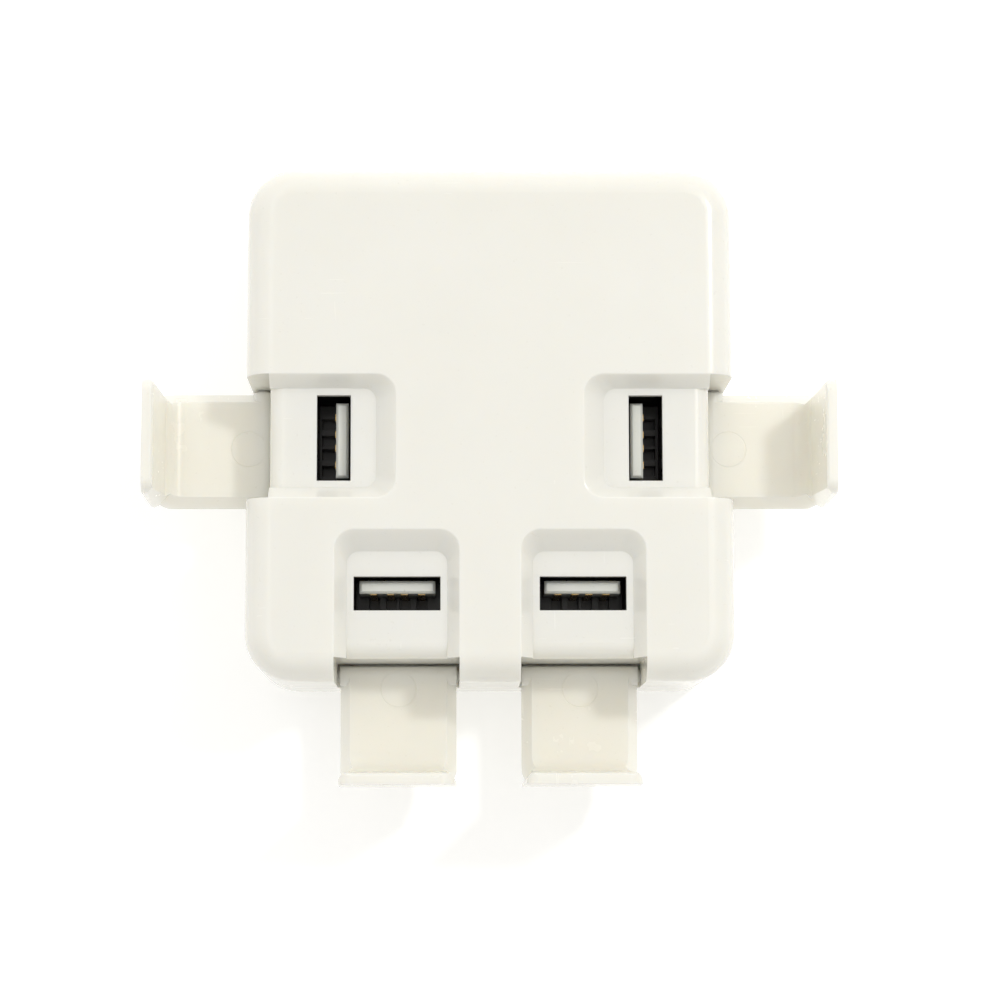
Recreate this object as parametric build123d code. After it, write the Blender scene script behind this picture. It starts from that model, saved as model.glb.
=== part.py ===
from build123d import *
import os

# Four-port USB wall charger with flip-out phone brackets.  Millimetres.
# It lies on its back: +X right, +Y towards the top edge, +Z out of the front face.
# The origin is the middle of the flat back face.

# ---------------------------------------------------------------- driving dimensions
BODY_W = 70.6            # across, X
BODY_H = 75.0            # top edge to bottom edge, Y
BODY_T = 30.0            # back face to front face, Z
CORNER_R = 7.0           # corners seen from the front
FRONT_R = 4.0            # rolled front edge
BACK_R = 2.0             # rolled back edge
WALL = 2.2
PARTING_Z = 13.6         # front and rear covers meet on the hinge axes
LIP_H = 1.4              # height of the locating tongue between the covers
LIP_T = 1.0
FIT = 0.05               # clearance of parts that locate on each other
LIP_ROOM = 1.0           # how much wider inside the groove for the tongue is
LIP_END_GAP = 0.3        # the tongue stops this far from each notch
SEAM = 0.15              # depth of the groove where the covers meet

SIDE_POCKET_Y = -2.2     # middle of the two side pockets
LOWER_POCKET_X = 13.4    # middle of the two lower pockets
POCKET_W = 18.0
POCKET_L = 21.9          # from the side face to the closed end
POCKET_D = 2.7
POCKET_SIDE_SLOPE = 1.75
POCKET_END_SLOPE = 3.1
POCKET_R = 3.0
POCKET_EDGE_R = 0.25     # softened rim of each pocket
POCKET_FLOOR_R = 1.8     # corners of the pocket floor
RUN_OUT = 8.0            # how far cutting forms run past the side face
RIM_RISE = 0.3           # and past the front face
TRAY_T = 1.3             # wall under the pocket floor
NOTCH_IN = 3.4           # block face, measured in from the side face
NOTCH_WALL = 2.4
BLOCK_R = 2.2            # rolled outer edge of the block

PIVOT_IN = 1.65          # hinge axis in from the side face
BRACKET_W = 17.2
BRACKET_REACH = 19.1     # lid tip, in from the side face; leaves a finger gap
PLATE_T = 3.1
LID_TIP_T = 1.6
LID_ROOT_T = 2.3
BRACKET_OUT_R = 4.0
BRACKET_IN_R = 2.6
BRACKET_BEVEL = 1.45     # width of the bevel along each long inner edge
BRACKET_LAND = 0.4       # square edge left between bevel and outer face
TIP_BEVEL = 0.3
TIP_NARROWER = 0.35      # the lid loses this much on each side by its tip
TAPER_FROM = 5.8         # the lid starts to narrow here, in from the side face
TIP_PLAN_R = 2.0
BARREL_R = 1.45
PIN_R = 0.5
PIN_BORE_R = 0.54
PIN_SEAT_R = 0.51
PIN_L = 21.0
BOSS_R = 0.95            # thrust boss at each end of the barrel
BOSS_H = 0.3
RING_R = 2.7             # shallow ejector ring on the inside of the plate
RING_W = 0.14
RING_DEPTH = 0.04
RING_UP = 2.05           # ring centre, along the plate from the hinge axis

PORT_IN = 12.7           # port centre, in from the side face
PORT_L = 12.5
PORT_W = 4.9
SHELL_L = 13.2
SHELL_W = 5.8
SHELL_T = 0.35
SHELL_H = 13.1
TONGUE_L = 11.0
TONGUE_T = 1.84
TONGUE_OFF = 1.15        # tongue centre, from the port centre
CONTACT_PITCHES = (-3.5, -1.0, 1.0, 3.5)
CONTACT_W = 1.0
CONTACT_T = 0.25
CONTACT_SLOT_W = 1.6     # opening in the insulator base around each contact
TAB_W = 1.8              # spring tabs pressed out of the shell's wide sides
TAB_L = 5.0
TAB_CUT = 0.3
TAB_Y = 3.1
SHELL_FLOOR = 1.2        # insulator stands this far above the board
TONGUE_BASE_H = 3.0
TONGUE_SHORT = 1.0       # tongue tip below the shell's rim
TONGUE_RIM = 0.35
CONTACT_SHORT = 2.0      # contact ends below the shell's rim
CONTACT_SUNK = 0.1
SNUG = 0.02

BOARD_Z = 11.0
BOARD_T = 1.6
BOARD_TOP = BOARD_Z + BOARD_T
BOARD_X = 29.2
BOARD_Y_LOW = -31.4
BOARD_Y_HIGH = 34.6
POST_R = 2.4
SCREW_R = 0.9
SINK_X = -28.0           # outer face of the rectifier's heat sink
SINK_T = 1.4
SINK_FOOT_T = 1.2
BOARD_POSTS = ((-26.5, 31.0), (26.5, 31.0), (-26.5, -26.0), (26.5, -26.0))

PLUG_Y = 6.0             # folding plug: spindle axis
PLUG_Z = 4.7
DRUM_R = 4.2
DRUM_HALF = 12.8
JOURNAL_R = 2.0
JOURNAL_HALF = 15.8
JOURNAL_FIT = 0.04
RECESS_HALF = 13.1
RECESS_TOP = 8.6
RECESS_END = 23.0        # beyond the spindle axis
RECESS_WALL = 1.5
DRUM_GAP = 0.3           # between the spindle and the housing around it
SCOOP_R = 9.0            # finger scoop at the blade tips
SCOOP_TOP = 3.0
BLADE_SPACING = 12.7
BLADE_W = 6.35
BLADE_T = 1.5
BLADE_REACH = 21.2       # blade tip from the spindle axis
BLADE_TAIL = 2.4         # blade end inside the spindle, behind the axis
CAP_CAVITY_R = 4.45
CAP_TOP = 10.4
CAP_SCREW_X = 19.2
CAP_SLACK = 0.3          # beyond the journals' ends
EAR_T = 1.6              # screw ears of the cap
BEARING_WALL = 1.6       # beside the journals
SCREW_BOSS_R = 2.2
PILOT_BOTTOM = 2.6       # lowest point of the cap screws' pilot holes
POST_PILOT_BOTTOM = 6.0


# ---------------------------------------------------------------- helpers
def block(x0, x1, y0, y1, z0, z1):
    """A box from its two corners."""
    size = (x1 - x0, y1 - y0, z1 - z0)
    centre = ((x0 + x1) / 2, (y0 + y1) / 2, (z0 + z1) / 2)
    return Pos(*centre) * Box(*size)


def rod(radius, z0, z1, x=0.0, y=0.0):
    """An upright cylinder."""
    return Pos(x, y, (z0 + z1) / 2) * Cylinder(radius, z1 - z0)


def rod_x(radius, x0, x1, y, z):
    """A cylinder lying along X."""
    return Pos((x0 + x1) / 2, y, z) * Rot(0, 90, 0) * Cylinder(radius, x1 - x0)


def slab(width, height, radius, z0, z1):
    """A round-cornered plate centred on Z."""
    outline = Pos(0, 0, z0) * RectangleRounded(width, height, radius)
    return extrude(outline, z1 - z0)


def at_z(shape, z):
    """Edges of a shape that lie flat at one height."""
    return shape.edges().filter_by(lambda e: abs(e.bounding_box().min.Z - z) < 1e-4
                                   and abs(e.bounding_box().max.Z - z) < 1e-4)


# A station is a local frame for one pocket: local +X points out of the side face,
# local X = 0 is the side face, local Y runs along it and Z is the body's own.
def station(name):
    places = {
        "left": Pos(-BODY_W / 2, SIDE_POCKET_Y, 0) * Rot(0, 0, 180),
        "right": Pos(BODY_W / 2, SIDE_POCKET_Y, 0),
        "lower_left": Pos(-LOWER_POCKET_X, -BODY_H / 2, 0) * Rot(0, 0, -90),
        "lower_right": Pos(LOWER_POCKET_X, -BODY_H / 2, 0) * Rot(0, 0, -90),
    }
    return places[name]


STATIONS = ("left", "right", "lower_left", "lower_right")


# ---------------------------------------------------------------- pocket and notch forms
def pocket_form(grow, depth):
    """The tapered hollow of one pocket, larger all round by grow."""
    top_w = POCKET_W + 2 * grow
    low_w = POCKET_W - 2 * POCKET_SIDE_SLOPE + 2 * grow
    top_l = POCKET_L + grow + RUN_OUT
    low_l = POCKET_L - POCKET_END_SLOPE + grow + RUN_OUT
    spread = RIM_RISE * POCKET_SIDE_SLOPE / POCKET_D
    top = Pos(RUN_OUT - top_l / 2 - spread / 2, 0, BODY_T + RIM_RISE) * RectangleRounded(
        top_l + spread, top_w + 2 * spread, POCKET_R)
    low = Pos(RUN_OUT - low_l / 2, 0, BODY_T - depth) * RectangleRounded(low_l, low_w, POCKET_FLOOR_R)
    return loft([low, top], ruled=True)


def notch_form(grow):
    """The straight-sided slot that the bracket's plate folds into."""
    sill = PARTING_Z - PIVOT_IN
    half = POCKET_W / 2 + grow
    return block(-NOTCH_IN - grow, RUN_OUT, -half, half, sill - grow, BODY_T + 1)


def pin_form(radius, length):
    """A cylinder on the hinge axis."""
    return Pos(-PIVOT_IN, 0, PARTING_Z) * Rot(90, 0, 0) * Cylinder(radius, length)


def edge_roll():
    """What the rolled outer edge of the block takes away."""
    floor_z = BODY_T - POCKET_D
    half = POCKET_W / 2 - POCKET_SIDE_SLOPE
    face_x = -NOTCH_IN
    corner = block(face_x - BLOCK_R, face_x + 0.5, -half, half, floor_z - BLOCK_R, floor_z + 0.5)
    bar = Pos(face_x - BLOCK_R, 0, floor_z - BLOCK_R) * Rot(90, 0, 0) * Cylinder(BLOCK_R, POCKET_W)
    return corner - bar


def port_mouth():
    """The straight slot through the tray that a plug enters by."""
    half = PORT_W / 2
    return block(-PORT_IN - half, -PORT_IN + half, -PORT_L / 2, PORT_L / 2, BODY_T - RUN_OUT, BODY_T)


# ---------------------------------------------------------------- housing
def outer_form():
    body = slab(BODY_W, BODY_H, CORNER_R, 0, BODY_T)
    body = fillet(at_z(body, BODY_T), FRONT_R)
    return fillet(at_z(body, 0), BACK_R)


def inner_form():
    room = slab(BODY_W - 2 * WALL, BODY_H - 2 * WALL, CORNER_R - WALL, WALL, BODY_T - WALL)
    return fillet(at_z(room, BODY_T - WALL), FRONT_R - WALL)


def lip_ring(outer_gap, inner_gap, height, keep_clear):
    """The locating tongue that stands on the rear cover, broken at each notch."""
    w = BODY_W - 2 * WALL
    h = BODY_H - 2 * WALL
    r = CORNER_R - WALL
    t = LIP_T - outer_gap
    ring = slab(w + 2 * t, h + 2 * t, r + t, PARTING_Z - 0.6, PARTING_Z + height)
    ring -= slab(w - 2 * inner_gap, h - 2 * inner_gap, r - inner_gap,
                 PARTING_Z - 1, PARTING_Z + height + 1)
    half = POCKET_W / 2 + NOTCH_WALL + keep_clear
    for name in STATIONS:
        ring -= station(name) * block(-RUN_OUT, 2, -half, half, 0, BODY_T)
    return ring


def housing_form():
    """Both covers as one shell, before they are parted."""
    shell = outer_form() - inner_form()
    limit = outer_form()
    for name in STATIONS:
        place = station(name)
        tray = place * pocket_form(TRAY_T, POCKET_D + TRAY_T)
        shell += limit & tray
        walls = place * notch_form(NOTCH_WALL)
        shell += limit & walls
    for name in STATIONS:
        place = station(name)
        shell -= place * pocket_form(0, POCKET_D)
        shell -= place * notch_form(0)
        shell -= place * edge_roll()
        shell -= place * pin_form(PIN_SEAT_R, PIN_L + 0.1)
        shell -= place * port_mouth()
    return shell


def seam_groove():
    """The fine V-shaped groove where the covers meet on the outside."""
    w = BODY_W - 2 * SEAM
    h = BODY_H - 2 * SEAM
    r = CORNER_R - SEAM
    ring = slab(BODY_W + 2, BODY_H + 2, CORNER_R + 1, PARTING_Z - SEAM, PARTING_Z + SEAM)
    core = slab(w, h, r, PARTING_Z - 1, PARTING_Z + 1)
    upper = loft([Pos(0, 0, PARTING_Z) * RectangleRounded(w, h, r),
                  Pos(0, 0, PARTING_Z + SEAM) * RectangleRounded(BODY_W, BODY_H, CORNER_R)], ruled=True)
    lower = mirror(upper, Plane.XY.offset(PARTING_Z))
    return ring - core - upper - lower


def front_cover(shell):
    cover = shell & block(-BODY_W, BODY_W, -BODY_H, BODY_H, PARTING_Z, BODY_T + 1)
    cover -= lip_ring(-FIT, LIP_ROOM, LIP_H + 0.1, -LIP_END_GAP)
    cover -= seam_groove()
    rims = at_z(cover, BODY_T)
    return fillet(rims, POCKET_EDGE_R)


def recess_form():
    """The hollow in the back that the folded blades lie in."""
    half = RECESS_HALF
    y1 = PLUG_Y + RECESS_END
    hollow = block(-half, half, PLUG_Y, y1, -1, RECESS_TOP)
    reach = DRUM_R + DRUM_GAP
    hollow += block(-half, half, PLUG_Y - reach, PLUG_Y, -1, RECESS_TOP + 4)
    hollow += block(-half, half, PLUG_Y, PLUG_Y + reach, 0, RECESS_TOP + 4)
    scoop = rod(SCOOP_R, -9.0, SCOOP_TOP, 0, y1 - 2.0)
    return hollow + (scoop & block(-SCOOP_R, SCOOP_R, y1 - 1, y1 + SCOOP_R - 1, -1, SCOOP_TOP))


def rear_cover(shell):
    cover = shell & block(-BODY_W, BODY_W, -BODY_H, BODY_H, -1, PARTING_Z)
    cover -= seam_groove()
    cover += lip_ring(0.0, 0.0, LIP_H, LIP_END_GAP)
    y0 = PLUG_Y - DRUM_R - DRUM_GAP
    y1 = PLUG_Y + RECESS_END
    half = RECESS_HALF + RECESS_WALL
    bearing = half + BEARING_WALL
    # walls of the plug recess, low along the spindle so that it drops in from inside
    cover += block(-half, half, PLUG_Y + 5.0, y1 + RECESS_WALL, WALL - 1, RECESS_TOP + RECESS_WALL)
    cover += block(-bearing, bearing, y0 - 1.2, PLUG_Y + 5.2, WALL - 1, PLUG_Z)
    cover += block(-half, half, y1, y1 + SCOOP_R - 1, WALL - 1, SCOOP_TOP + 1.4)
    for x in (-CAP_SCREW_X, CAP_SCREW_X):
        cover += rod(SCREW_BOSS_R, WALL - 1, PLUG_Z, x, PLUG_Y)
    cover -= recess_form()
    cover -= rod_x(JOURNAL_R + JOURNAL_FIT, -JOURNAL_HALF - 0.1, JOURNAL_HALF + 0.1, PLUG_Y, PLUG_Z)
    for x in (-CAP_SCREW_X, CAP_SCREW_X):
        cover -= rod(SCREW_R, PILOT_BOTTOM, PLUG_Z + 1, x, PLUG_Y)
    for x, y in BOARD_POSTS:
        cover += rod(POST_R, WALL - 1, BOARD_Z, x, y)
        cover -= rod(SCREW_R, POST_PILOT_BOTTOM, BOARD_Z + 1, x, y)
    return cover


# ---------------------------------------------------------------- brackets
def bracket_profile():
    """Closed-position outline in the station's XZ plane."""
    tip_x = -BRACKET_REACH
    root_x = -PLATE_T
    low_z = PARTING_Z
    top = BODY_T
    points = [
        (0, low_z),
        (0, top),
        (tip_x, top),
        (tip_x, top - LID_TIP_T + TIP_BEVEL),
        (tip_x + TIP_BEVEL, top - LID_TIP_T),
        (root_x, top - LID_ROOT_T),
        (root_x, low_z),
    ]
    face = Plane.XZ * make_face(Polyline(*points, close=True))
    return face


def bevel_form(side):
    """What the bevel along one long inner edge takes off plate and lid."""
    half = BRACKET_W / 2
    far = 40.0
    lid_slope = BRACKET_BEVEL / (LID_ROOT_T - BRACKET_LAND)
    plate_slope = BRACKET_BEVEL / (PLATE_T - BRACKET_LAND)
    top = BODY_T - BRACKET_LAND
    lid_run = lid_slope * far
    plate_run = plate_slope * far
    clear = half + 2
    under_lid = Polyline((half, top), (clear, top), (clear, top - far),
                         (half - lid_run, top - far), close=True)
    under_lid = extrude(Plane.YZ * make_face(under_lid), far, both=True)
    land = -BRACKET_LAND
    behind = Polyline((land, half), (land, clear), (-far, clear), (-far, half - plate_run), close=True)
    behind = extrude(make_face(behind), far, both=True)
    wedge = under_lid & behind
    return wedge if side > 0 else mirror(wedge, Plane.XZ)


def side_taper(side):
    """What narrows the lid in plan, along one side, from its root to its tip."""
    half = BRACKET_W / 2
    past = BRACKET_REACH + 1.0
    narrowing = TIP_NARROWER * (past - TAPER_FROM) / (BRACKET_REACH - TAPER_FROM)
    clear = side * (half + 1)
    outline = Polyline((-TAPER_FROM, side * half), (-past, side * (half - narrowing)),
                       (-past, clear), (-TAPER_FROM, clear), close=True)
    return extrude(Pos(0, 0, BODY_T - 2 * LID_ROOT_T) * make_face(outline), 4 * LID_ROOT_T)


def ejector_ring():
    """The shallow ring that a mould pin leaves on the inside of the plate."""
    ring = Cylinder(RING_R, 2 * RING_DEPTH) - Cylinder(RING_R - RING_W, 1)
    return Pos(-PLATE_T, 0, PARTING_Z + RING_UP) * Rot(0, 90, 0) * ring


def cross_edge(arm, x, z):
    """The bracket's edge that runs across it at one place in its profile."""
    return arm.edges().filter_by(Axis.Y).filter_by(
        lambda e: abs(e.center().X - x) < 1e-3 and abs(e.center().Z - z) < 1e-3)


def bracket(name):
    """The L-shaped cover and phone rest, made closed, then opened on its hinge."""
    half = BRACKET_W / 2
    arm = Pos(0, half, 0) * extrude(bracket_profile(), BRACKET_W, dir=(0, -1, 0))
    arm = fillet(cross_edge(arm, 0, BODY_T), BRACKET_OUT_R)
    arm = fillet(cross_edge(arm, -PLATE_T, BODY_T - LID_ROOT_T), BRACKET_IN_R)
    for side in (-1, 1):
        arm -= side_taper(side)
    corners = arm.edges().filter_by(Axis.Z).filter_by(
        lambda e: abs(e.center().X + BRACKET_REACH) < 1e-3)
    arm = fillet(corners, TIP_PLAN_R)
    for side in (-1, 1):
        arm -= bevel_form(side)
    arm += pin_form(BARREL_R, BRACKET_W)
    arm += pin_form(BOSS_R, BRACKET_W + 2 * BOSS_H)
    arm -= pin_form(PIN_BORE_R, PIN_L + 4)
    arm -= ejector_ring()
    swing = Pos(-PIVOT_IN, 0, PARTING_Z) * Rot(0, 90, 0) * Pos(PIVOT_IN, 0, -PARTING_Z)
    return station(name) * swing * arm


def hinge_pin(name):
    return station(name) * pin_form(PIN_R, PIN_L)


# ---------------------------------------------------------------- ports
def tab_outline():
    """The U-shaped cut around a spring tab, through both wide sides."""
    cut = Box(SHELL_W + 1, TAB_W + 2 * TAB_CUT, TAB_L + TAB_CUT)
    return cut - Pos(0, 0, -TAB_CUT) * Box(SHELL_W + 2, TAB_W, TAB_L)


def port_shell(name):
    """Folded steel shell of an upright type A receptacle."""
    out = Box(SHELL_W, SHELL_L, SHELL_H)
    room = Box(SHELL_W - 2 * SHELL_T, SHELL_L - 2 * SHELL_T, SHELL_H)
    shell = out - Pos(0, 0, SHELL_FLOOR) * room
    for y in (-TAB_Y, TAB_Y):
        shell -= Pos(0, y, 1.6) * tab_outline()
    return station(name) * Pos(-PORT_IN, 0, BOARD_TOP + SHELL_H / 2) * shell


def port_tongue(name):
    """White insulator: a base in the shell and the tongue that stands up from it."""
    base_z = BOARD_TOP + SHELL_FLOOR
    base = Box(SHELL_W - 2 * SHELL_T - SNUG, SHELL_L - 2 * SHELL_T - SNUG, TONGUE_BASE_H)
    base = Pos(0, 0, TONGUE_BASE_H / 2) * base
    tongue_h = SHELL_H - SHELL_FLOOR - TONGUE_SHORT
    tongue = Pos(-TONGUE_OFF, 0, tongue_h / 2) * Box(TONGUE_T, TONGUE_L, tongue_h)
    rim = tongue.edges().group_by(Axis.Z)[-1]
    tongue = chamfer(rim, TONGUE_RIM)
    body = base + tongue
    face_x = -TONGUE_OFF + TONGUE_T / 2
    slot_x = SHELL_W / 2 - SHELL_T - 0.45
    half = CONTACT_SLOT_W / 2
    for y in CONTACT_PITCHES:
        body -= port_contact_bar(y, SNUG)
        body -= block(face_x, slot_x, y - half, y + half, 0.6, TONGUE_BASE_H + 1)
    return station(name) * Pos(-PORT_IN, 0, base_z) * body


def port_contact_bar(y, gap):
    """One contact blade along the outer face of the tongue."""
    x = -TONGUE_OFF + TONGUE_T / 2 - CONTACT_SUNK
    half = CONTACT_W / 2 + gap
    z1 = SHELL_H - SHELL_FLOOR - CONTACT_SHORT
    return block(x - gap, x + CONTACT_T + gap, y - half, y + half, -gap, z1)


def port_contacts(name):
    place = station(name) * Pos(-PORT_IN, 0, BOARD_TOP + SHELL_FLOOR)
    return Compound(children=[place * port_contact_bar(y, 0) for y in CONTACT_PITCHES])


# ---------------------------------------------------------------- board and its parts
def main_board():
    w = 2 * BOARD_X
    h = BOARD_Y_HIGH - BOARD_Y_LOW
    board = Pos(0, (BOARD_Y_HIGH + BOARD_Y_LOW) / 2, 0) * slab(w, h, 3.0, BOARD_Z, BOARD_TOP)
    for x, y in BOARD_POSTS:
        board -= rod(SCREW_R + 0.2, BOARD_Z - 1, BOARD_TOP + 1, x, y)
    return board


def screw(x, y, under_head, length, head_r=1.9, head_h=1.3):
    """A pan-head screw pointing down, with a cross recess."""
    body = rod(SCREW_R - 0.05, under_head - length, under_head + 0.2, x, y)
    head = rod(head_r, under_head, under_head + head_h, x, y)
    head = fillet(head.edges().group_by(Axis.Z)[-1], 0.5)
    top = under_head + head_h
    head -= Pos(x, y, top) * Box(2.2, 0.5, 1.4)
    head -= Pos(x, y, top) * Box(0.5, 2.2, 1.4)
    return body + head


def board_screws():
    return Compound(children=[screw(x, y, BOARD_TOP, 5.6) for x, y in BOARD_POSTS])


def transformer():
    """Ferrite frame, bobbin and winding of the switching transformer."""
    cx, cy, z0 = 0.0, 4.0, BOARD_TOP
    core_w, core_d, core_h = 20.0, 6.0, 12.0
    leg = 5.0
    yoke = 2.2
    base_h = 1.4
    flange_w = 14.6
    mid = base_h + core_h / 2
    window_h = core_h - 2 * yoke
    place = Pos(cx, cy, z0)
    core = Pos(0, 0, mid) * Box(core_w, core_d, core_h)
    core -= Pos(0, 0, mid) * Box(core_w - leg, core_d + 1, window_h)
    core += Pos(0, 0, mid) * Box(leg, core_d, core_h)
    tube_h = window_h - 0.1
    bobbin = Pos(0, 0, mid) * Box(leg + 1.6, core_d + 2.0, tube_h)
    for s in (-1, 1):
        bobbin += Pos(0, 0, mid + s * (tube_h / 2 - 0.4)) * Box(flange_w, core_d + 8.0, 0.8)
    for s in (-1, 1):
        bobbin += Pos(0, s * (core_d / 2 + 2.4), base_h / 2 + 1.15) * Box(flange_w, 3.0, base_h + 2.3)
    bobbin -= Pos(0, 0, mid) * Box(leg + 0.1, core_d + 0.1, core_h)
    coil_h = tube_h - 1.7
    coil = Pos(0, 0, mid) * Box(13.8, core_d + 7.0, coil_h)
    coil = fillet(coil.edges().filter_by(Axis.Z), 2.5)
    coil -= Pos(0, 0, mid) * Box(leg + 1.7, core_d + 2.1, coil_h + 1)
    return place * core, place * bobbin, place * coil


def can(x, y, radius, height):
    """An electrolytic capacitor with its crimp groove."""
    groove_z = BOARD_TOP + 1.6
    groove_h = 0.7
    body = rod(radius, BOARD_TOP, BOARD_TOP + height, x, y)
    body = fillet(body.edges(), 0.5)
    groove = rod(radius + 1, groove_z, groove_z + groove_h, x, y)
    groove -= rod(radius - 0.3, groove_z - 0.1, groove_z + groove_h + 0.1, x, y)
    return body - groove


def bulk_capacitors():
    return Compound(children=[can(x, 27.5, 5.0, 13.0) for x in (-16.0, -4.5)])


def output_capacitors():
    places = ((-5.0, -12.5, 4.0), (4.6, -12.5, 4.0), (0.0, -20.5, 3.2))
    return Compound(children=[can(x, y, radius, 11.0) for x, y, radius in places])


def line_choke():
    """Common-mode choke: a square ferrite frame and two windings."""
    cx, cy, z0 = 19.5, 22.0, BOARD_TOP
    place = Pos(cx, cy, z0 + 1.0)
    core = Pos(0, 0, 5.5) * Box(12.0, 4.0, 11.0)
    core -= Pos(0, 0, 5.5) * Box(6.4, 5.0, 5.4)
    coils = []
    for s in (-1, 1):
        coil = Pos(s * 4.6, 0, 5.5) * Box(5.4, 7.0, 5.2)
        coil = fillet(coil.edges().filter_by(Axis.Z), 1.2)
        coil -= Pos(s * 4.6, 0, 5.5) * Box(2.9, 4.1, 6.0)
        coils.append(coil)
    foot = Pos(0, 0, -0.5) * Box(12.0, 6.0, 1.0)
    return place * core, Compound(children=[place * coil for coil in coils]), place * foot


def fuse():
    """Round time-lag fuse standing on the board."""
    body = rod(4.2, BOARD_TOP, BOARD_TOP + 7.5, 9.0, 29.0)
    return fillet(body.edges().group_by(Axis.Z)[-1], 0.8)


def x_capacitor():
    body = Pos(21.5, 12.0, BOARD_TOP + 5.5) * Box(13.0, 5.0, 11.0)
    return fillet(body.edges().filter_by(Axis.Z), 0.6)


def y_capacitor():
    disc = Pos(-13.6, 2.0, BOARD_TOP + 3.8) * Rot(0, 90, 0) * Cylinder(3.5, 2.6)
    return fillet(disc.edges(), 0.8)


def bridge_rectifier():
    return Pos(-24.0, 20.5, BOARD_TOP + 1.35) * Box(5.0, 6.4, 2.7)


def chip(x, y, length, width, height, pins):
    """A dual in-line package standing on bent legs."""
    stand = 0.5
    pitch = 2.54
    mid = stand + height / 2
    body = Pos(x, y, BOARD_TOP + mid) * Box(length, width, height)
    body = chamfer(body.edges().group_by(Axis.Z)[-1], 0.25)
    for i in range(pins):
        px = x + (i - (pins - 1) / 2) * pitch
        for s in (-1, 1):
            side = y + s * width / 2
            body += Pos(px, side + s * 0.4, BOARD_TOP + mid) * Box(1.2, 1.0, 0.3)
            body += Pos(px, side + s * 0.75, BOARD_TOP + mid / 2 + 0.07) * Box(1.2, 0.3, mid + 0.14)
    return body


def rectifier_heat_sink():
    plate = block(SINK_X, SINK_X + SINK_T, -20.0, -10.0, BOARD_TOP, BOARD_TOP + 11.0)
    foot = block(SINK_X, SINK_X + 5.0, -20.0, -10.0, BOARD_TOP, BOARD_TOP + SINK_FOOT_T)
    return plate + foot


def output_rectifier():
    face_x = SINK_X + SINK_T
    body = block(face_x, face_x + 3.2, -19.5, -10.5, BOARD_TOP + SINK_FOOT_T, BOARD_TOP + 9.0)
    return chamfer(body.edges().filter_by(Axis.Z).group_by(Axis.X)[-1], 0.5)


# ---------------------------------------------------------------- folding plug
def plug_spindle():
    drum = rod_x(DRUM_R, -DRUM_HALF, DRUM_HALF, PLUG_Y, PLUG_Z)
    drum += rod_x(JOURNAL_R, -JOURNAL_HALF, JOURNAL_HALF, PLUG_Y, PLUG_Z)
    half_t = BLADE_T / 2
    half_w = BLADE_W / 2
    for x in (-BLADE_SPACING / 2, BLADE_SPACING / 2):
        drum -= block(x - half_t, x + half_t, PLUG_Y - BLADE_TAIL, PLUG_Y + DRUM_R + 1,
                      PLUG_Z - half_w, PLUG_Z + half_w)
    return drum


def plug_blades():
    blades = []
    for x in (-BLADE_SPACING / 2, BLADE_SPACING / 2):
        blade = block(x - BLADE_T / 2, x + BLADE_T / 2, PLUG_Y - BLADE_TAIL, PLUG_Y + BLADE_REACH,
                      PLUG_Z - BLADE_W / 2, PLUG_Z + BLADE_W / 2)
        tip = blade.faces().sort_by(Axis.Y)[-1].edges()
        blade = chamfer(tip, 0.5)
        hole_y = PLUG_Y + BLADE_REACH - 4.0
        blade -= rod_x(1.6, x - 2, x + 2, hole_y, PLUG_Z)
        blades.append(blade)
    return Compound(children=blades)


def plug_cap():
    """Bridge that holds the spindle's journals down from inside."""
    y0 = PLUG_Y - DRUM_R - 1.5
    y1 = PLUG_Y + 4.9
    side = JOURNAL_HALF + CAP_SLACK
    ear = CAP_SCREW_X + SCREW_BOSS_R
    cap = block(-side, side, y0, y1, PLUG_Z, CAP_TOP)
    cap += block(-ear, ear, PLUG_Y - 2.4, PLUG_Y + 2.4, PLUG_Z, PLUG_Z + EAR_T)
    cap -= rod_x(CAP_CAVITY_R, -RECESS_HALF, RECESS_HALF, PLUG_Y, PLUG_Z)
    cap -= rod_x(JOURNAL_R + JOURNAL_FIT, -JOURNAL_HALF - 0.1, JOURNAL_HALF + 0.1, PLUG_Y, PLUG_Z)
    for x in (-CAP_SCREW_X, CAP_SCREW_X):
        cap -= rod(SCREW_R + 0.2, PLUG_Z - 1, PLUG_Z + 3, x, PLUG_Y)
    for x in (-BLADE_SPACING / 2, BLADE_SPACING / 2):
        cap -= block(x - 1.6, x + 1.6, PLUG_Y - 2.0, PLUG_Y + 2.0, PLUG_Z + 4, CAP_TOP + 1)
        cap -= block(x - 1.1, x + 1.1, PLUG_Y + 2.0, y1 + 1, PLUG_Z - 1, RECESS_TOP)
    return cap


def plug_cap_screws():
    screws = [screw(x, PLUG_Y, PLUG_Z + EAR_T, 3.2) for x in (-CAP_SCREW_X, CAP_SCREW_X)]
    return Compound(children=screws)


def contact_springs():
    """Two leaf springs from the board that reach down through the cap to the spindle."""
    springs = []
    half = 1.2
    thick = 0.3
    back_y = PLUG_Y - 1.6
    low = PLUG_Z + DRUM_R + 0.15
    for x in (-BLADE_SPACING / 2, BLADE_SPACING / 2):
        strip = block(x - half, x + half, back_y, PLUG_Y + 1.6, low, low + thick)
        strip += block(x - half, x + half, back_y, back_y + thick, low, BOARD_Z)
        springs.append(strip)
    return Compound(children=springs)


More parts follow.
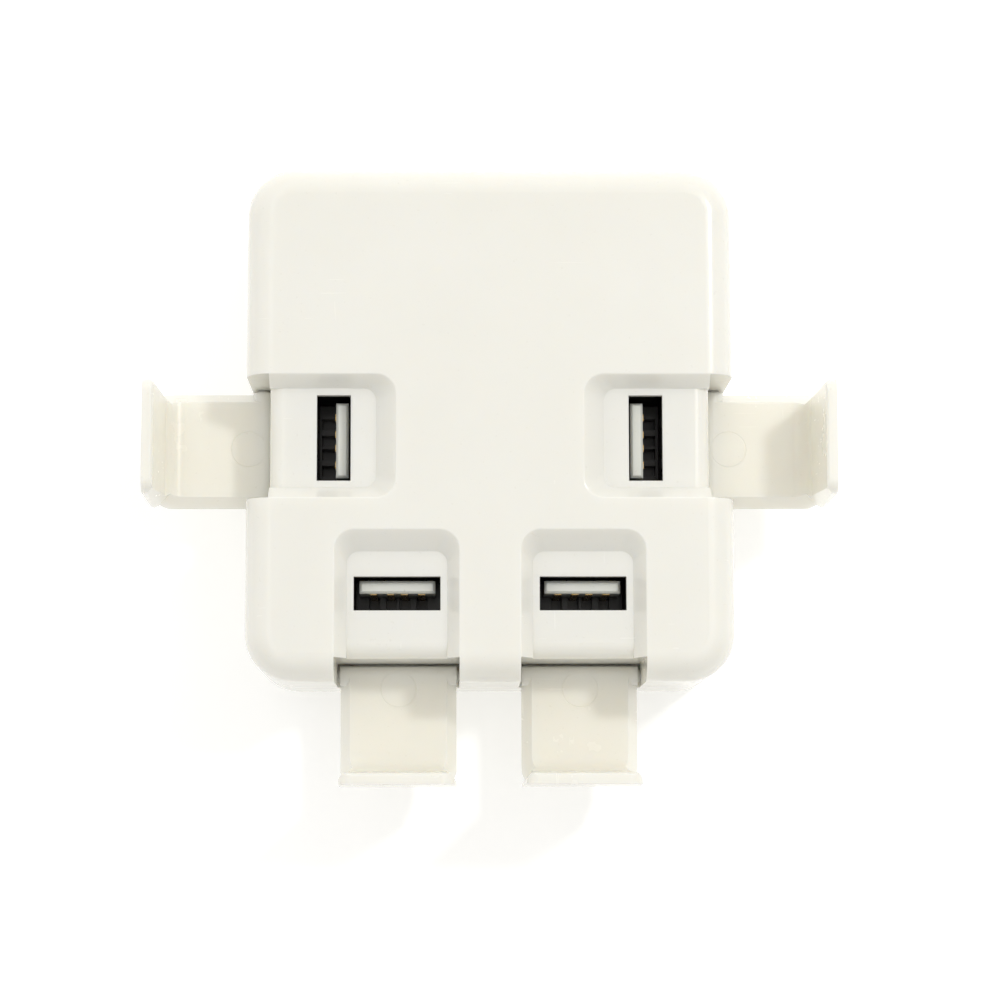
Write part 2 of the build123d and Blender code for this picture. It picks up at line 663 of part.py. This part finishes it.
# ---------------------------------------------------------------- write the parts
def main():
    os.makedirs("parts", exist_ok=True)
    shell = housing_form()
    core, bobbin, winding = transformer()
    choke_core, choke_windings, choke_base = line_choke()
    nodes = {
        "front_cover": front_cover(shell),
        "rear_cover": rear_cover(shell),
        "main_board": main_board(),
        "board_screws": board_screws(),
        "transformer_core": core,
        "transformer_bobbin": bobbin,
        "transformer_winding": winding,
        "bulk_capacitors": bulk_capacitors(),
        "output_capacitors": output_capacitors(),
        "choke_core": choke_core,
        "choke_windings": choke_windings,
        "choke_base": choke_base,
        "mains_fuse": fuse(),
        "x_capacitor": x_capacitor(),
        "y_capacitor": y_capacitor(),
        "bridge_rectifier": bridge_rectifier(),
        "power_switch_chip": chip(-20.5, 10.5, 9.4, 6.3, 3.3, 3),
        "optocoupler": chip(-16.0, -10.5, 4.6, 5.0, 3.0, 1),
        "rectifier_heat_sink": rectifier_heat_sink(),
        "output_rectifier": output_rectifier(),
        "plug_spindle": plug_spindle(),
        "plug_blades": plug_blades(),
        "plug_cap": plug_cap(),
        "plug_cap_screws": plug_cap_screws(),
        "plug_contact_springs": contact_springs(),
    }
    for name in STATIONS:
        nodes[name + "_bracket"] = bracket(name)
        nodes[name + "_hinge_pin"] = hinge_pin(name)
        nodes[name + "_port_shell"] = port_shell(name)
        nodes[name + "_port_tongue"] = port_tongue(name)
        nodes[name + "_port_contacts"] = port_contacts(name)
    for name, shape in nodes.items():
        export_step(shape, f"parts/{name}.step")


main()
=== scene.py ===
"""Looks of a four-port USB wall charger with flip-out phone brackets, lying on its back."""

import math

import bpy
from mathutils import Matrix, Vector


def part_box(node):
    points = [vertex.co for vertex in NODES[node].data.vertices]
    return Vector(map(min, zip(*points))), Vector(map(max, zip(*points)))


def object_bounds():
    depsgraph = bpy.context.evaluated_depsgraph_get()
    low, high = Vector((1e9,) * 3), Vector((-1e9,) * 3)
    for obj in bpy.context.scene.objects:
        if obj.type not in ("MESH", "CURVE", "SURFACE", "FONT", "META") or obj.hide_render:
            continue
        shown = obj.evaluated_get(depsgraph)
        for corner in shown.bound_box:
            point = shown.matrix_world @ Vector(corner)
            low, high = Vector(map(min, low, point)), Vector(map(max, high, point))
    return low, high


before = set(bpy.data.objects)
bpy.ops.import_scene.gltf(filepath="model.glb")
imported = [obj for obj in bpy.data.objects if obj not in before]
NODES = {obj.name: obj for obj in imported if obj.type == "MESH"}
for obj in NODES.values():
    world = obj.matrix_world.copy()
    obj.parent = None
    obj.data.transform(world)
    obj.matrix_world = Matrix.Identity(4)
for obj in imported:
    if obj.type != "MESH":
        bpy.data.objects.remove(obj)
cad_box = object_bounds()

MM = 0.001
STATIONS = ("left", "right", "lower_left", "lower_right")

# ---------------------------------------------------------------- places read from the frame
FRONT_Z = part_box("front_cover")[1].z
TONGUE_FOOT_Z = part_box("left_port_tongue")[0].z

# ---------------------------------------------------------------- looks that several parts share
PLASTIC_IOR = 1.53
PLASTIC_COAT = 0.25
PLASTIC_COAT_ROUGHNESS = 0.08
TRANSLUCENCY = 0.55                       # share of the light that enters the plastic
LIGHT_TRAVEL = (1.0, 0.92, 0.78)          # how far each colour goes, relative to the depth
TRANSLUCENT_DEPTH = 2.2 * MM
PLASTIC_RELIEF = 0.004                    # millimetres, like every depth below
PLASTIC_EDGE = 0.12
PAINTED_FOOT_SHADE = (0.035, 0.034, 0.030)        # painted shade over the foot of each port's insulator, for the shade deep inside the port
PAINTED_SHADE_HEIGHT = 3.4
PAINTED_SHADE_FADE = 3.5

# ---------------------------------------------------------------- stage, lights and camera
FLOOR_HALF = 3.0                          # metres
FLOOR_DROP = 0.05                         # millimetres under the case
FLOOR_ROUGHNESS = 0.6
FLOOR_GLOW = 0.30
KEY_WAY = (0.52, 0.35, 1.0)
KEY_DISTANCE = 0.9
KEY_SIZE = (0.11, 0.11)
KEY_POWER = 2.75
KEY_COLOUR = (1.0, 0.99, 0.965)
PANEL_Y = 0.15
PANEL_HEIGHT = 0.45
PANEL_LENGTH = 0.80
# name, place along X, width, power and colour of the two long panels that look straight down
PANELS = (
    ("right_panel", 0.17, 0.16, 0.21, (1.0, 1.0, 0.99)),
    ("left_strip", -0.15, 0.07, 0.14, (1.0, 0.99, 0.97)),
)
SKY_COLOUR = (1.0, 0.99, 0.972)
SKY_STRENGTH = 0.73
SKY_LEAN = (-0.14, 0.30)                  # gain per unit of direction along X and Y
CAMERA_SENSOR = 36.0
CAMERA_LENS = 106.24
CAMERA_PITCH = 0.1207                     # radians
CAMERA_YAW = 0.017
CAMERA_X = -5.8                           # millimetres
CAMERA_Y = -62.6
CAMERA_ABOVE_FACE = 420.6
CLIP_START = 0.01


# ---------------------------------------------------------------- node helpers
class Graph:
    """A material's node tree, with short calls for the nodes that the looks use."""

    def __init__(self, name):
        self.material = bpy.data.materials.new(name)
        self.material.use_nodes = True
        self.tree = self.material.node_tree
        self.shader = next(n for n in self.tree.nodes if n.type == "BSDF_PRINCIPLED")
        self.coords = self.node("ShaderNodeTexCoord").outputs["Object"]

    def node(self, kind, **settings):
        made = self.tree.nodes.new(kind)
        for key, value in settings.items():
            setattr(made, key, value)
        return made

    def link(self, source, target):
        self.tree.links.new(source, target)
        return target

    def stretched(self, scale):
        """Object coordinates scaled per axis, in features per millimetre."""
        mapping = self.node("ShaderNodeMapping")
        self.link(self.coords, mapping.inputs["Vector"])
        mapping.inputs["Scale"].default_value = [s / MM for s in scale]
        return mapping.outputs["Vector"]

    def noise(self, scale, detail=3.0, roughness=0.5, vector=None):
        """Fractal noise; scale is in features per millimetre."""
        made = self.node("ShaderNodeTexNoise")
        made.inputs["Scale"].default_value = scale / MM if vector is None else scale
        made.inputs["Detail"].default_value = detail
        made.inputs["Roughness"].default_value = roughness
        self.link(vector or self.coords, made.inputs["Vector"])
        return made.outputs["Fac"]

    def ramp(self, source, low, high, to_low=0.0, to_high=1.0):
        made = self.node("ShaderNodeMapRange")
        self.link(source, made.inputs["Value"])
        made.inputs["From Min"].default_value = low
        made.inputs["From Max"].default_value = high
        made.inputs["To Min"].default_value = to_low
        made.inputs["To Max"].default_value = to_high
        return made.outputs["Result"]

    def maths(self, operation, first, second):
        made = self.node("ShaderNodeMath", operation=operation)
        for socket, value in zip(made.inputs, (first, second)):
            if isinstance(value, (int, float)):
                socket.default_value = value
            else:
                self.link(value, socket)
        return made.outputs[0]

    def mix(self, factor, first, second):
        """A colour between two colours or colour sockets."""
        made = self.node("ShaderNodeMix", data_type="RGBA")
        self.link(factor, made.inputs["Factor"])
        for socket, value in ((made.inputs[6], first), (made.inputs[7], second)):
            if isinstance(value, tuple):
                socket.default_value = (*value, 1.0)
            else:
                self.link(value, socket)
        return made.outputs[2]

    def axis(self, letter):
        split = self.node("ShaderNodeSeparateXYZ")
        self.link(self.coords, split.inputs["Vector"])
        return split.outputs[letter]

    def soft_edges(self, radius):
        made = self.node("ShaderNodeBevel", samples=8)
        made.inputs["Radius"].default_value = radius * MM
        return made.outputs["Normal"]

    def bump(self, height, depth, normal=None):
        """Relief of the given depth in millimetres."""
        made = self.node("ShaderNodeBump")
        made.inputs["Strength"].default_value = 1.0
        made.inputs["Distance"].default_value = depth * MM
        self.link(height, made.inputs["Height"])
        if normal is not None:
            self.link(normal, made.inputs["Normal"])
        return made.outputs["Normal"]

    def surface(self, colour=None, roughness=None, normal=None, **fixed):
        for name, source in (("Base Color", colour), ("Roughness", roughness), ("Normal", normal)):
            if source is None:
                continue
            socket = self.shader.inputs[name]
            if isinstance(source, tuple):
                socket.default_value = (*source, 1.0)
            elif isinstance(source, (int, float)):
                socket.default_value = source
            else:
                self.link(source, socket)
        for name, value in fixed.items():
            self.shader.inputs[name.replace("_", " ")].default_value = value
        return self.material


# ---------------------------------------------------------------- materials
def moulded_plastic(name, colour, shade, grime, gloss, wear, painted_shade_below=None):
    """Injection-moulded plastic: flow clouds, hairline scuffs and dust; below the given height, painted
    shade darkens the foot.
    """
    g = Graph(name)
    clouds = g.ramp(g.noise(0.035, 4.0, 0.6), 0.35, 0.65)
    tone = g.mix(clouds, colour, shade)
    speck = g.ramp(g.noise(1.6, 2.0, 0.7), 0.66, 0.74, 0.0, 0.35 * wear)
    tone = g.mix(speck, tone, grime)
    # painted shade: the surface goes dark towards its foot, where shade falls deep inside a port
    if painted_shade_below is not None:
        depth = g.ramp(g.axis("Z"), painted_shade_below, painted_shade_below + PAINTED_SHADE_FADE * MM, 1.0, 0.0)
        tone = g.mix(depth, tone, PAINTED_FOOT_SHADE)
    hair_a = g.noise(1.0, 2.0, 0.5, g.stretched((0.06, 2.6, 0.6)))
    hair_b = g.noise(1.0, 2.0, 0.5, g.stretched((1.9, 0.08, 0.6)))
    hairs = g.maths("MAXIMUM", g.ramp(hair_a, 0.66, 0.72), g.ramp(hair_b, 0.68, 0.74))
    patches = g.ramp(g.noise(0.09, 3.0, 0.6), 0.45, 0.6)
    scuffs = g.maths("MULTIPLY", hairs, patches)
    low, high = gloss
    rough = g.ramp(g.noise(0.12, 4.0, 0.6), 0.3, 0.7, low, high)
    rough = g.maths("ADD", rough, g.maths("MULTIPLY", scuffs, 0.16 * wear))
    peel = g.noise(0.9, 2.0, 0.5)
    height = g.maths("SUBTRACT", peel, g.maths("MULTIPLY", scuffs, 0.6 * wear))
    normal = g.bump(height, PLASTIC_RELIEF, g.soft_edges(PLASTIC_EDGE))
    g.surface(tone, rough, normal, IOR=PLASTIC_IOR, Coat_Weight=PLASTIC_COAT,
              Coat_Roughness=PLASTIC_COAT_ROUGHNESS)
    return g.surface(Subsurface_Weight=TRANSLUCENCY, Subsurface_Radius=LIGHT_TRAVEL,
                     Subsurface_Scale=TRANSLUCENT_DEPTH)


def rolled_steel(name, colour, streaks, rough, edge_tint=(1.0, 1.0, 1.0)):
    """Drawn or rolled metal: long streaks and darker stains; edge_tint is its colour at a glance."""
    g = Graph(name)
    grain = g.noise(1.0, 4.0, 0.6, g.stretched((6.0, 6.0, 0.3)))
    stain = g.ramp(g.noise(0.5, 3.0, 0.6), 0.4, 0.7)
    tone = g.mix(g.ramp(grain, 0.3, 0.7), colour, streaks)
    tone = g.mix(g.maths("MULTIPLY", stain, 0.4), tone, tuple(c * 0.6 for c in colour))
    low, high = rough
    normal = g.bump(grain, 0.004, g.soft_edges(0.05))
    return g.surface(tone, g.ramp(stain, 0.0, 1.0, low, high), normal,
                     Metallic=1.0, Specular_Tint=(*edge_tint, 1.0))


def plated_contact(name, colour, worn):
    """Thin plating, rubbed through in streaks where plugs slide."""
    g = Graph(name)
    streak = g.noise(1.0, 3.0, 0.6, g.stretched((5.0, 5.0, 0.5)))
    tone = g.mix(g.ramp(streak, 0.5, 0.62), colour, worn)
    normal = g.bump(streak, 0.003, g.soft_edges(0.06))
    return g.surface(tone, g.ramp(streak, 0.3, 0.7, 0.2, 0.38), normal, Metallic=1.0)


def solder_masked_board():
    """Green mask over copper tracks, with the glass weave faintly showing."""
    g = Graph("board_green_mask")
    cells = g.node("ShaderNodeTexVoronoi", feature="DISTANCE_TO_EDGE", distance="MANHATTAN")
    g.link(g.coords, cells.inputs["Vector"])
    cells.inputs["Scale"].default_value = 0.16 / MM
    tracks = g.ramp(cells.outputs["Distance"], 0.05, 0.07)
    mask = g.mix(tracks, (0.030, 0.170, 0.060), (0.015, 0.085, 0.035))
    weave = g.noise(1.0, 2.0, 0.5, g.stretched((2.5, 2.5, 6.0)))
    mask = g.mix(g.ramp(weave, 0.4, 0.6, 0.0, 0.3), mask, (0.10, 0.20, 0.08))
    height = g.maths("SUBTRACT", 1.0, tracks)
    normal = g.bump(height, 0.035)
    return g.surface(mask, g.ramp(weave, 0.3, 0.7, 0.28, 0.42), normal, Coat_Weight=0.3)


def ferrite_block():
    """Fired ferrite: dull grey-black with pits and ground faces."""
    g = Graph("ferrite_block")
    pits = g.node("ShaderNodeTexVoronoi")
    g.link(g.coords, pits.inputs["Vector"])
    pits.inputs["Scale"].default_value = 1.4 / MM
    pit = g.ramp(pits.outputs["Distance"], 0.08, 0.2)
    cloud = g.noise(0.3, 4.0, 0.6)
    tone = g.mix(cloud, (0.028, 0.027, 0.028), (0.060, 0.058, 0.060))
    return g.surface(tone, g.ramp(cloud, 0.3, 0.7, 0.45, 0.62), g.bump(pit, 0.05, g.soft_edges(0.15)))


def winding_tape():
    """Yellow polyester tape wound in overlapping turns."""
    g = Graph("yellow_winding_tape")
    turns = g.node("ShaderNodeTexWave", wave_type="BANDS", bands_direction="Z", wave_profile="SAW")
    g.link(g.coords, turns.inputs["Vector"])
    turns.inputs["Scale"].default_value = 0.09 / MM
    turns.inputs["Distortion"].default_value = 0.6
    edge = turns.outputs["Fac"]
    crease = g.noise(1.0, 4.0, 0.6, g.stretched((0.3, 0.3, 2.5)))
    tone = g.mix(edge, (0.62, 0.36, 0.03), (0.75, 0.50, 0.07))
    tone = g.mix(g.ramp(crease, 0.55, 0.7, 0.0, 0.4), tone, (0.40, 0.22, 0.03))
    height = g.maths("ADD", edge, crease)
    return g.surface(tone, g.ramp(crease, 0.3, 0.7, 0.18, 0.4), g.bump(height, 0.05), Coat_Weight=0.3)


def enamelled_wire():
    """Close turns of copper wire under amber enamel."""
    g = Graph("enamelled_copper_wire")
    turns = g.node("ShaderNodeTexWave", wave_type="BANDS", bands_direction="Z")
    g.link(g.coords, turns.inputs["Vector"])
    turns.inputs["Scale"].default_value = 0.62 / MM
    turns.inputs["Distortion"].default_value = 0.8
    wire = turns.outputs["Fac"]
    tone = g.mix(wire, (0.20, 0.06, 0.02), (0.62, 0.25, 0.09))
    return g.surface(tone, g.ramp(wire, 0.0, 1.0, 0.45, 0.2), g.bump(wire, 0.22), Metallic=0.85)


def capacitor_sleeve(name, node, sleeve, stripe):
    """Shrink sleeve with a plain pale stripe, bare aluminium on the vented top."""
    g = Graph(name)
    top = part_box(node)[1].z
    lid = g.ramp(g.axis("Z"), top - 0.25 * MM, top - 0.1 * MM)
    wrap = g.noise(1.0, 3.0, 0.5, g.stretched((0.5, 0.5, 0.12)))
    band = g.ramp(g.axis("Y"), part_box(node)[0].y + 1.1 * MM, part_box(node)[0].y + 1.2 * MM, 1.0, 0.0)
    tone = g.mix(g.ramp(wrap, 0.3, 0.7), sleeve, tuple(c * 1.6 for c in sleeve))
    tone = g.mix(band, tone, stripe)
    brushed = g.noise(1.0, 3.0, 0.6, g.stretched((4.0, 0.4, 1.0)))
    metal = g.mix(brushed, (0.55, 0.55, 0.56), (0.80, 0.80, 0.80))
    tone = g.mix(lid, tone, metal)
    g.link(lid, g.shader.inputs["Metallic"])
    return g.surface(tone, g.ramp(wrap, 0.3, 0.7, 0.18, 0.32), g.bump(wrap, 0.03, g.soft_edges(0.1)))


def speckled_epoxy(name, colour, light, rough):
    """Epoxy or filled thermoplastic: fine filler specks under a dull skin."""
    g = Graph(name)
    filler = g.noise(2.2, 3.0, 0.7)
    cloud = g.noise(0.25, 3.0, 0.5)
    tone = g.mix(g.ramp(filler, 0.55, 0.75), colour, light)
    tone = g.mix(g.ramp(cloud, 0.35, 0.7, 0.0, 0.35), tone, tuple(c * 0.7 for c in colour))
    low, high = rough
    return g.surface(tone, g.ramp(filler, 0.3, 0.7, low, high), g.bump(filler, 0.02, g.soft_edges(0.12)))


def assign(material, *names):
    """Gives CAD nodes one material, in every slot they have."""
    for name in names:
        slots = NODES[name].material_slots
        if not slots:
            NODES[name].data.materials.append(material)
        for slot in slots:
            slot.material = material


def dress_the_cad():
    ivory = moulded_plastic("ivory_case_plastic", (0.885, 0.873, 0.812), (0.870, 0.856, 0.790),
                            (0.60, 0.56, 0.47), (0.17, 0.25), 0.4)
    bracket = moulded_plastic("ivory_bracket_plastic", (0.885, 0.870, 0.800), (0.868, 0.850, 0.776),
                              (0.60, 0.56, 0.46), (0.20, 0.28), 0.4)
    drum = moulded_plastic("ivory_spindle_plastic", (0.84, 0.82, 0.75), (0.80, 0.78, 0.70),
                           (0.40, 0.36, 0.28), (0.25, 0.36), 1.0)
    # the tongue's foot gets painted shade, for the shade deep inside the port
    tongue = moulded_plastic("white_tongue_plastic", (0.86, 0.87, 0.79), (0.83, 0.84, 0.75),
                             (0.50, 0.48, 0.40), (0.35, 0.5), 0.8,
                             painted_shade_below=TONGUE_FOOT_Z + PAINTED_SHADE_HEIGHT * MM)
    assign(ivory, "front_cover", "rear_cover")
    assign(drum, "plug_spindle")
    # painted shade: the port shells are real steel, but they are coloured near black with dimmed glance
    # reflections, for the shade deep inside each port
    socket = rolled_steel("socket_steel_painted_shade", (0.030, 0.031, 0.029), (0.055, 0.056, 0.053),
                          (0.30, 0.44), edge_tint=(0.3, 0.3, 0.3))
    pin = rolled_steel("ground_pin_steel", (0.62, 0.62, 0.60), (0.72, 0.72, 0.70), (0.18, 0.3))
    zinc = rolled_steel("zinc_screw_steel", (0.66, 0.66, 0.64), (0.76, 0.76, 0.74), (0.2, 0.34))
    sheet = rolled_steel("plain_aluminium_sheet", (0.72, 0.72, 0.73), (0.82, 0.82, 0.83), (0.3, 0.45))
    contact = plated_contact("gold_contact_plating", (0.72, 0.50, 0.20), (0.55, 0.45, 0.30))
    blade = plated_contact("nickel_blade_plating", (0.70, 0.68, 0.62), (0.62, 0.50, 0.28))
    for name in STATIONS:
        assign(bracket, name + "_bracket")
        assign(tongue, name + "_port_tongue")
        assign(socket, name + "_port_shell")
        assign(contact, name + "_port_contacts")
        assign(pin, name + "_hinge_pin")
    assign(blade, "plug_blades")
    assign(contact, "plug_contact_springs")
    assign(zinc, "board_screws", "plug_cap_screws")
    assign(sheet, "rectifier_heat_sink")
    assign(solder_masked_board(), "main_board")
    assign(ferrite_block(), "transformer_core", "choke_core")
    assign(winding_tape(), "transformer_winding")
    assign(enamelled_wire(), "choke_windings")
    black = speckled_epoxy("black_filled_plastic", (0.016, 0.016, 0.017), (0.05, 0.05, 0.05),
                           (0.4, 0.55))
    assign(black, "transformer_bobbin", "choke_base", "mains_fuse", "bridge_rectifier",
           "power_switch_chip", "output_rectifier", "plug_cap")
    white = speckled_epoxy("pale_epoxy", (0.72, 0.71, 0.66), (0.80, 0.79, 0.74), (0.35, 0.5))
    assign(white, "optocoupler")
    blue = speckled_epoxy("blue_disc_epoxy", (0.02, 0.10, 0.36), (0.05, 0.18, 0.5), (0.2, 0.35))
    assign(blue, "y_capacitor")
    yellow = speckled_epoxy("yellow_box_plastic", (0.60, 0.48, 0.07), (0.7, 0.58, 0.12), (0.3, 0.45))
    assign(yellow, "x_capacitor")
    sleeves = (
        ("bulk_can_sleeve", "bulk_capacitors", (0.02, 0.02, 0.025), (0.62, 0.60, 0.5)),
        ("output_can_sleeve", "output_capacitors", (0.02, 0.05, 0.12), (0.6, 0.6, 0.6)),
    )
    for name, node, sleeve, stripe in sleeves:
        assign(capacitor_sleeve(name, node, sleeve, stripe), node)


# ---------------------------------------------------------------- stage
def studio_floor():
    half = FLOOR_HALF
    mesh = bpy.data.meshes.new("studio_floor")
    corners = [(-half, -half, 0), (half, -half, 0), (half, half, 0), (-half, half, 0)]
    mesh.from_pydata(corners, [], [(0, 1, 2, 3)])
    floor = bpy.data.objects.new("studio_floor", mesh)
    floor.location.z = cad_box[0].z - FLOOR_DROP * MM
    bpy.context.scene.collection.objects.link(floor)
    g = Graph("pale_floor")
    cloud = g.ramp(g.noise(0.004, 3.0, 0.5), 0.3, 0.7)
    tone = g.mix(cloud, (0.92, 0.92, 0.915), (0.90, 0.90, 0.895))
    g.surface(tone, FLOOR_ROUGHNESS, Emission_Color=(1.0, 1.0, 0.995, 1.0),
              Emission_Strength=FLOOR_GLOW)
    mesh.materials.append(g.material)


def soft_light(name, place, aim, size, power, colour):
    light = bpy.data.lights.new(name, "AREA")
    light.shape = "RECTANGLE"
    light.size, light.size_y = size
    light.energy = power
    light.color = colour
    lamp = bpy.data.objects.new(name, light)
    lamp.location = place
    lamp.rotation_euler = (Vector(aim) - Vector(place)).to_track_quat("-Z", "Y").to_euler()
    bpy.context.scene.collection.objects.link(lamp)


def studio_light():
    centre = Vector((0.0, 0.0, FRONT_Z / 2))
    key_place = centre + Vector(KEY_WAY) * KEY_DISTANCE
    soft_light("key", key_place, centre, KEY_SIZE, KEY_POWER, KEY_COLOUR)
    for name, x, width, power, colour in PANELS:
        place = (x, PANEL_Y, PANEL_HEIGHT)
        soft_light(name, place, (x, PANEL_Y, 0.0), (width, PANEL_LENGTH), power, colour)
    studio_world(SKY_COLOUR, SKY_STRENGTH, SKY_LEAN)
    bpy.context.scene.view_settings.view_transform = "Standard"


def studio_world(colour, strength, lean):
    """An even tent, brighter on one side; lean is the gain per unit of direction along X and Y."""
    world = bpy.data.worlds.new("studio_world")
    world.use_nodes = True
    tree = world.node_tree
    sky = tree.nodes["Background"]
    sky.inputs["Color"].default_value = (*colour, 1.0)
    way = tree.nodes.new("ShaderNodeTexCoord").outputs["Generated"]
    dot = tree.nodes.new("ShaderNodeVectorMath")
    dot.operation = "DOT_PRODUCT"
    dot.inputs[1].default_value = (lean[0] * strength, lean[1] * strength, 0.0)
    tree.links.new(way, dot.inputs[0])
    total = tree.nodes.new("ShaderNodeMath")
    total.operation = "ADD"
    total.inputs[1].default_value = strength
    tree.links.new(dot.outputs["Value"], total.inputs[0])
    tree.links.new(total.outputs["Value"], sky.inputs["Strength"])
    bpy.context.scene.world = world


def camera():
    """Looks straight down on the face from a little below the middle of the case."""
    pitch = CAMERA_PITCH
    yaw = CAMERA_YAW
    data = bpy.data.cameras.new("camera")
    data.sensor_width = CAMERA_SENSOR
    data.lens = CAMERA_LENS
    data.clip_start = CLIP_START
    along = math.cos(yaw)
    forward = Vector((math.sin(yaw), math.sin(pitch) * along, -math.cos(pitch) * along))
    up = Vector((0.0, math.cos(pitch), math.sin(pitch)))
    right = forward.cross(up).normalized()
    up = right.cross(forward)
    turn = Matrix((right, up, -forward)).transposed().to_4x4()
    made = bpy.data.objects.new("camera", data)
    place = (CAMERA_X * MM, CAMERA_Y * MM, FRONT_Z + CAMERA_ABOVE_FACE * MM)
    made.matrix_world = Matrix.Translation(place) @ turn
    bpy.context.scene.collection.objects.link(made)
    bpy.context.scene.camera = made


# ---------------------------------------------------------------- build
camera()
dress_the_cad()
studio_floor()
studio_light()
